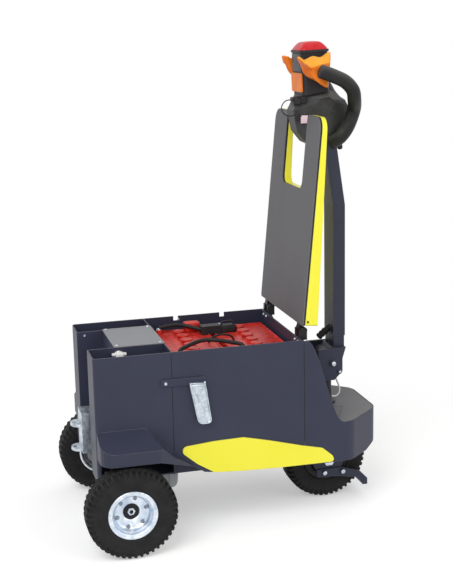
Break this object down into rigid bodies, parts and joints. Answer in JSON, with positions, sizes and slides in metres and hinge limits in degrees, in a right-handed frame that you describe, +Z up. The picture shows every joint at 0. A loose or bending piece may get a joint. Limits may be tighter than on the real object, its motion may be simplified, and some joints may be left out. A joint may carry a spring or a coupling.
{
  "type": "pedestrian electric tow tug",
  "caption": "Walk-behind battery tow tug: tiller-steered wheel, driven rear axle, tow jaw, folded-sheet body and a hinged lid, shown open over the battery bay.",
  "frame": {"origin": "on the floor under the middle of the part's length and width", "axes": "+X towards the tiller end, the way it drives, +Z up, -Y is the right-hand side"},
  "size_m": [0.928, 0.628, 1.3996],
  "materials": {
    "body_paint": "semi-gloss anthracite paint",
    "top_paint": "fine textured grey paint",
    "yellow_paint": "gloss yellow powder coat",
    "zinc_plate": "zinc plated steel",
    "black_steel": "satin black paint",
    "cast_grey": "grey painted casting",
    "tyre_rubber": "block tread",
    "wheel_rim": "zinc plated pressing",
    "black_plastic": "moulded, fine grain",
    "orange_plastic": "moulded",
    "red_plastic": "moulded",
    "white_plastic": "moulded",
    "battery_case": "moulded polypropylene",
    "soft_rubber": "moulded"
  },
  "bodies": {
    "chassis": {"chassis_pan": "body_paint", "tower_right": "body_paint", "tower_left": "body_paint", "recess_wall": "body_paint", "controller_cover": "top_paint", "bay_divider": "body_paint", "bay_panel_right": "body_paint", "bay_panel_left": "body_paint", "bay_end_wall": "body_paint", "lid_hinge_bases": "black_steel", "hood_shell": "body_paint", "hood_top": "top_paint", "side_plate_right": "yellow_paint", "side_plate_left": "yellow_paint", "battery_drive_end": "battery_case", "battery_tiller_end": "battery_case", "battery_leads": "soft_rubber", "battery_connector": "black_plastic", "latch_base_right": "body_paint", "latch_base_left": "body_paint", "latch_right": "zinc_plate", "latch_left": "zinc_plate", "tow_bracket": "zinc_plate", "transaxle": "cast_grey", "drive_motor": "cast_grey", "steer_bearing": "black_steel", "charger_socket": "white_plastic"},
    "drive_wheel_right": {"drive_tyre_right": "tyre_rubber", "drive_rim_right": "wheel_rim", "drive_hub_right": "black_steel"},
    "drive_wheel_left": {"drive_tyre_left": "tyre_rubber", "drive_rim_left": "wheel_rim", "drive_hub_left": "black_steel"},
    "steer_wheel": {"steer_tyre": "tyre_rubber", "steer_rim": "black_steel"},
    "lid": {"lid_panel": "top_paint", "lid_seal": "soft_rubber", "lid_cover": "yellow_paint", "lid_hinge_straps": "black_steel"},
    "steering": {"steer_column": "black_steel", "steer_fork": "body_paint", "steer_axle": "zinc_plate", "tiller_clevis": "body_paint", "foot_guard": "body_paint", "tiller_cable": "white_plastic"},
    "tiller": {"mast": "body_paint", "mast_foot": "body_paint", "tiller_buffer": "soft_rubber", "head_housing": "black_plastic", "control_drum": "black_plastic", "loop_grips": "soft_rubber", "safety_button": "red_plastic", "throttle_right": "orange_plastic", "throttle_left": "orange_plastic", "horn_button": "orange_plastic", "key_switch": "black_plastic"}
  },
  "joints": [
    {"name": "drive_spin_right", "type": "hinge", "parent": "chassis", "child": "drive_wheel_right", "pos_m": [-0.334, -0.2715, 0.13], "axis": [0, 1, 0], "continuous": true},
    {"name": "drive_spin_left", "type": "hinge", "parent": "chassis", "child": "drive_wheel_left", "pos_m": [-0.334, 0.2715, 0.13], "axis": [0, 1, 0], "continuous": true},
    {"name": "steering", "type": "hinge", "parent": "chassis", "child": "steering", "pos_m": [0.3255, 0, 0.3], "axis": [0, 0, 1], "range_deg": [-60, 60]},
    {"name": "steer_spin", "type": "hinge", "parent": "steering", "child": "steer_wheel", "pos_m": [0.3255, 0, 0.13], "axis": [0, 1, 0], "continuous": true},
    {"name": "tiller_tilt", "type": "hinge", "parent": "steering", "child": "tiller", "pos_m": [0.3405, 0, 0.438], "axis": [0, 1, 0], "range_deg": [0, 75], "stiffness_Nm_per_rad": 60, "springref_deg": -28.65},
    {"name": "lid_hinge", "type": "hinge", "parent": "chassis", "child": "lid", "pos_m": [0.209, 0, 0.583], "axis": [0, -1, 0], "range_deg": [0, 95.6]}
  ]
}
